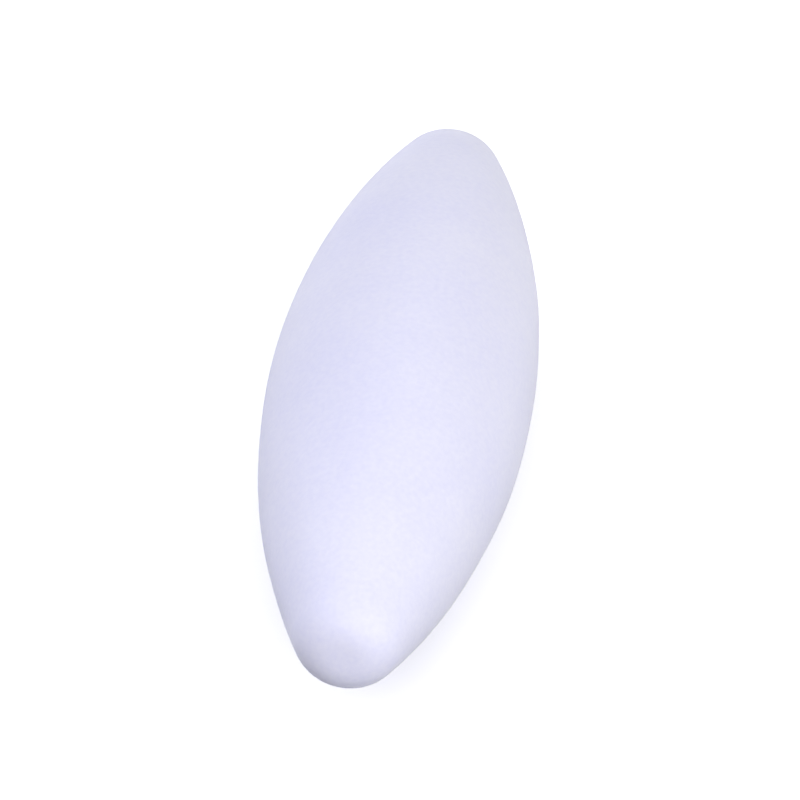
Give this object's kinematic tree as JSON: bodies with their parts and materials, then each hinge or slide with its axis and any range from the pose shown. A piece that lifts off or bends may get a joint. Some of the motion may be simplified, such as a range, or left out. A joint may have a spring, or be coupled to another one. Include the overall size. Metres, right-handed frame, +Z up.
{
  "type": "magnetic stir bar",
  "caption": "Oval magnetic stir bar: a white PTFE jacket shaped like a spindle with blunt rounded ends, sealed all round a rod magnet, for stirring liquids on a magnetic stirrer.",
  "frame": {"origin": "centre of the bar, on its turning axis and midway between its ends", "axes": "+X along the bar's turning axis, +Z up from the floor that the bar lies on"},
  "size_m": [0.02, 0.006, 0.006],
  "materials": {
    "ptfe": "satin",
    "magnet_alloy": "matte"
  },
  "bodies": {
    "root": {"ptfe_jacket": "ptfe", "rod_magnet": "magnet_alloy"}
  },
  "joints": []
}
